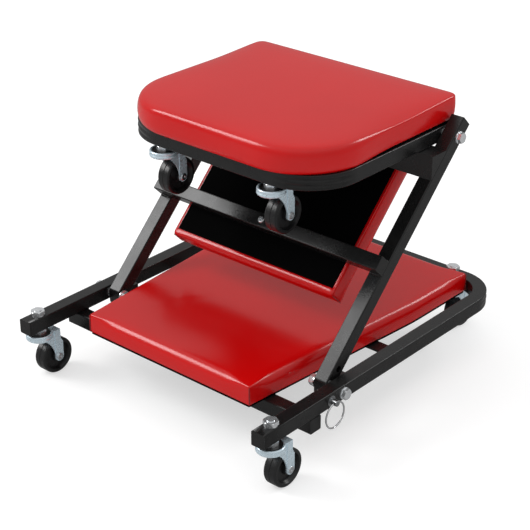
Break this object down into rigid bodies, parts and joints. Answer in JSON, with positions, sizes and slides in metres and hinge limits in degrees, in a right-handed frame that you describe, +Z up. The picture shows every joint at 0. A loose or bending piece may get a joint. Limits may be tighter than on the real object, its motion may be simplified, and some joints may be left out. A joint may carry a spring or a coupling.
{
  "type": "mechanics creeper",
  "caption": "Folding mechanics creeper set up as a low rolling seat: red vinyl pads on a black square-tube frame with swivel casters and a pull pin.",
  "frame": {"origin": "on the floor, under the middle of the overall length with the casters trailing, on the plane of symmetry", "axes": "+X from the frame's open end to its bent end, +Z up, -Y towards the pull pin's side"},
  "size_m": [0.5414, 0.4468, 0.3871],
  "materials": {
    "black_steel": "satin black powder coat",
    "tube_caps": "satin black",
    "red_vinyl": "smooth glossy red vinyl over foam",
    "board": "black-stained board with a black dust cover",
    "bright_hardware": "bright zinc",
    "bearing_steel": "greased steel",
    "zinc_fork": "bluish bright zinc",
    "axle_steel": "bright zinc",
    "black_wheel": "satin black moulding",
    "pin_steel": "zinc plated",
    "ring_chrome": "bright nickel"
  },
  "bodies": {
    "base": {"base_frame_tube": "black_steel", "base_crossbar_front": "black_steel", "base_crossbar_rear": "black_steel", "base_tube_caps": "tube_caps", "arm_stops": "black_steel", "base_cushion_board": "board", "base_cushion": "red_vinyl", "base_cushion_screws": "bright_hardware", "base_pivot_bolts": "bright_hardware", "base_pivot_nuts": "bright_hardware", "base_pivot_washers": "bright_hardware", "pull_pin_bushing": "pin_steel", "pull_pin_spring": "pin_steel", "base_caster_stems": "bright_hardware", "base_caster_nuts": "bright_hardware", "base_caster_upper_races": "bearing_steel", "base_caster_balls": "bearing_steel"},
    "arms": {"arm_left": "black_steel", "arm_right": "black_steel", "arm_tube_caps": "tube_caps", "arm_crossbar": "black_steel", "stop_bar": "black_steel", "middle_cushion_board": "board", "middle_cushion": "red_vinyl", "middle_cushion_screw": "bright_hardware", "top_pivot_bolts": "bright_hardware", "top_pivot_nuts": "bright_hardware", "top_pivot_washers": "bright_hardware"},
    "seat": {"seat_frame_tube": "black_steel", "seat_tube_caps": "tube_caps", "seat_crossbar": "black_steel", "seat_cushion_board": "board", "seat_cushion": "red_vinyl", "seat_cushion_screws": "bright_hardware", "seat_caster_stems": "bright_hardware", "seat_caster_nuts": "bright_hardware", "seat_caster_upper_races": "bearing_steel", "seat_caster_balls": "bearing_steel"},
    "pull_pin": {"pull_pin": "pin_steel"},
    "pull_ring": {"pull_ring": "ring_chrome"},
    "front_left_caster": {"front_left_caster_fork": "zinc_fork", "front_left_caster_axle": "axle_steel"},
    "front_left_wheel": {"front_left_caster_wheel": "black_wheel"},
    "front_right_caster": {"front_right_caster_fork": "zinc_fork", "front_right_caster_axle": "axle_steel"},
    "front_right_wheel": {"front_right_caster_wheel": "black_wheel"},
    "rear_left_caster": {"rear_left_caster_fork": "zinc_fork", "rear_left_caster_axle": "axle_steel"},
    "rear_left_wheel": {"rear_left_caster_wheel": "black_wheel"},
    "rear_right_caster": {"rear_right_caster_fork": "zinc_fork", "rear_right_caster_axle": "axle_steel"},
    "rear_right_wheel": {"rear_right_caster_wheel": "black_wheel"},
    "seat_left_caster": {"seat_left_caster_fork": "zinc_fork", "seat_left_caster_axle": "axle_steel"},
    "seat_left_wheel": {"seat_left_caster_wheel": "black_wheel"},
    "seat_right_caster": {"seat_right_caster_fork": "zinc_fork", "seat_right_caster_axle": "axle_steel"},
    "seat_right_wheel": {"seat_right_caster_wheel": "black_wheel"}
  },
  "joints": [
    {"name": "arms_fold", "type": "hinge", "parent": "base", "child": "arms", "pos_m": [-0.1227, 0, 0.0835], "axis": [0, -1, 0], "range_deg": [0, 135]},
    {"name": "seat_fold", "type": "hinge", "parent": "arms", "child": "seat", "pos_m": [0.13094, 0, 0.33714], "axis": [0, -1, 0], "range_deg": [-135, 0]},
    {"name": "pull_pin_slide", "type": "slide", "parent": "base", "child": "pull_pin", "axis": [0, 1, 0], "range_m": [0, 0.004]},
    {"name": "pull_ring_swing", "type": "hinge", "parent": "pull_pin", "child": "pull_ring", "pos_m": [-0.147, -0.2209, 0.0835], "axis": [-1, 0, 0], "range_deg": [0, 100]},
    {"name": "front_left_swivel", "type": "hinge", "parent": "base", "child": "front_left_caster", "pos_m": [-0.2476, 0.2045, 0.0735], "axis": [0, 0, 1], "continuous": true},
    {"name": "front_left_roll", "type": "hinge", "parent": "front_left_caster", "child": "front_left_wheel", "pos_m": [-0.2256, 0.2045, 0.0254], "axis": [0, 1, 0], "continuous": true},
    {"name": "front_right_swivel", "type": "hinge", "parent": "base", "child": "front_right_caster", "pos_m": [-0.2476, -0.2045, 0.0735], "axis": [0, 0, 1], "continuous": true},
    {"name": "front_right_roll", "type": "hinge", "parent": "front_right_caster", "child": "front_right_wheel", "pos_m": [-0.2256, -0.2045, 0.0254], "axis": [0, 1, 0], "continuous": true},
    {"name": "rear_left_swivel", "type": "hinge", "parent": "base", "child": "rear_left_caster", "pos_m": [0.223, 0.1365, 0.0735], "axis": [0, 0, 1], "continuous": true},
    {"name": "rear_left_roll", "type": "hinge", "parent": "rear_left_caster", "child": "rear_left_wheel", "pos_m": [0.245, 0.1365, 0.0254], "axis": [0, 1, 0], "continuous": true},
    {"name": "rear_right_swivel", "type": "hinge", "parent": "base", "child": "rear_right_caster", "pos_m": [0.223, -0.1365, 0.0735], "axis": [0, 0, 1], "continuous": true},
    {"name": "rear_right_roll", "type": "hinge", "parent": "rear_right_caster", "child": "rear_right_wheel", "pos_m": [0.245, -0.1365, 0.0254], "axis": [0, 1, 0], "continuous": true},
    {"name": "seat_left_swivel", "type": "hinge", "parent": "seat", "child": "seat_left_caster", "pos_m": [-0.11566, 0.091, 0.32714], "axis": [0, 0, 1], "continuous": true},
    {"name": "seat_left_roll", "type": "hinge", "parent": "seat_left_caster", "child": "seat_left_wheel", "pos_m": [-0.09366, 0.091, 0.27904], "axis": [0, 1, 0], "continuous": true},
    {"name": "seat_right_swivel", "type": "hinge", "parent": "seat", "child": "seat_right_caster", "pos_m": [-0.11566, -0.091, 0.32714], "axis": [0, 0, 1], "continuous": true},
    {"name": "seat_right_roll", "type": "hinge", "parent": "seat_right_caster", "child": "seat_right_wheel", "pos_m": [-0.09366, -0.091, 0.27904], "axis": [0, 1, 0], "continuous": true}
  ],
  "couplings": [
    {"joint": "seat_fold", "follows": "arms_fold", "ratio": -1}
  ]
}
